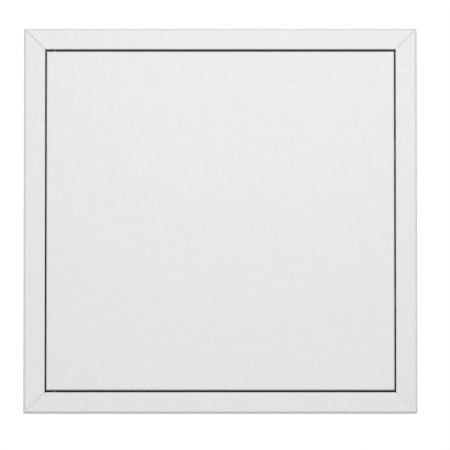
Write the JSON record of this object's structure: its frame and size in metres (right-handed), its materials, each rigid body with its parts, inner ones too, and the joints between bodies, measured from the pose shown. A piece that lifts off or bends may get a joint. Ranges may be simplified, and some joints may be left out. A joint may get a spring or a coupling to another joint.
{
  "type": "ceiling access panel",
  "caption": "Square ceiling access panel: mitred folded-steel picture frame, flush lift-out door on spring hinge pins, magnetic push latches, black foam seal.",
  "frame": {"origin": "middle of the panel, on the plane of the ceiling's surface, where the flange's lip rests", "axes": "face looks along -Y, +Y runs through the opening into the ceiling void, +X towards the latch side, +Z towards the top rail. Turn it by -90 degrees about X to lay the face downwards in a ceiling."},
  "size_m": [0.502, 0.0543, 0.502],
  "materials": {
    "powder_coat": "satin white powder coat on the seen side of steel sheet, grey primer behind",
    "zinc_steel": "dull zinc-coated steel",
    "black_steel": "black-oxide steel rod, lightly oiled",
    "spring_steel": "drawn spring wire, lightly oiled",
    "rivet_aluminium": "plain aluminium blind rivets",
    "latch_plastic": "fine-grained moulded white plastic",
    "plunger_plastic": "smooth grey moulded plastic",
    "magnet_nickel": "nickel-plated magnet disc",
    "seal_foam": "black closed-cell foam strip"
  },
  "bodies": {
    "frame": {"frame_rail_top": "powder_coat", "stop_angle_top": "zinc_steel", "seal_top": "seal_foam", "frame_rail_latch": "powder_coat", "stop_angle_latch": "zinc_steel", "seal_latch": "seal_foam", "frame_rail_bottom": "powder_coat", "stop_angle_bottom": "zinc_steel", "seal_bottom": "seal_foam", "frame_rail_hinge": "powder_coat", "stop_angle_hinge": "zinc_steel", "seal_hinge": "seal_foam", "corner_bracket_top_latch": "zinc_steel", "corner_cleat_top_latch": "zinc_steel", "corner_bracket_bottom_latch": "zinc_steel", "corner_cleat_bottom_latch": "zinc_steel", "corner_bracket_bottom_hinge": "zinc_steel", "corner_cleat_bottom_hinge": "zinc_steel", "corner_bracket_top_hinge": "zinc_steel", "corner_cleat_top_hinge": "zinc_steel", "corner_rivets": "rivet_aluminium", "latch_screws": "zinc_steel", "latch_housing_upper": "latch_plastic", "latch_end_cap_upper": "latch_plastic", "latch_cam_wire_upper": "spring_steel", "latch_spring_upper": "spring_steel", "latch_housing_lower": "latch_plastic", "latch_end_cap_lower": "latch_plastic", "latch_cam_wire_lower": "spring_steel", "latch_spring_lower": "spring_steel"},
    "door": {"door_pan": "powder_coat", "door_stiffener": "zinc_steel", "strike_plate_upper": "zinc_steel", "strike_plate_lower": "zinc_steel", "hinge_bracket_top": "zinc_steel", "hinge_spring_top": "spring_steel", "hinge_bracket_bottom": "zinc_steel", "hinge_spring_bottom": "spring_steel"},
    "latch_plunger_upper": {"latch_plunger_upper": "plunger_plastic", "latch_magnet_upper": "magnet_nickel"},
    "latch_plunger_lower": {"latch_plunger_lower": "plunger_plastic", "latch_magnet_lower": "magnet_nickel"},
    "hinge_pin_top": {"hinge_pin_top": "black_steel", "hinge_clip_top": "spring_steel"},
    "hinge_pin_bottom": {"hinge_pin_bottom": "black_steel", "hinge_clip_bottom": "spring_steel"}
  },
  "joints": [
    {"name": "door_hinge", "type": "hinge", "parent": "frame", "child": "door", "pos_m": [-0.2113, 0.0015, 0], "axis": [0, 0, -1], "range_deg": [0, 100]},
    {"name": "top_pin_draw", "type": "slide", "parent": "door", "child": "hinge_pin_top", "axis": [0, 0, -1], "range_m": [0, 0.006], "stiffness_N_per_m": 400, "springref_m": -0.01, "deforming": ["hinge_spring_top"]},
    {"name": "bottom_pin_draw", "type": "slide", "parent": "door", "child": "hinge_pin_bottom", "axis": [0, 0, 1], "range_m": [0, 0.006], "stiffness_N_per_m": 400, "springref_m": -0.01, "deforming": ["hinge_spring_bottom"]},
    {"name": "upper_latch_press", "type": "slide", "parent": "frame", "child": "latch_plunger_upper", "axis": [0, 1, 0], "range_m": [0, 0.003], "stiffness_N_per_m": 1500, "springref_m": -0.002, "deforming": ["latch_spring_upper"]},
    {"name": "lower_latch_press", "type": "slide", "parent": "frame", "child": "latch_plunger_lower", "axis": [0, 1, 0], "range_m": [0, 0.003], "stiffness_N_per_m": 1500, "springref_m": -0.002, "deforming": ["latch_spring_lower"]}
  ]
}
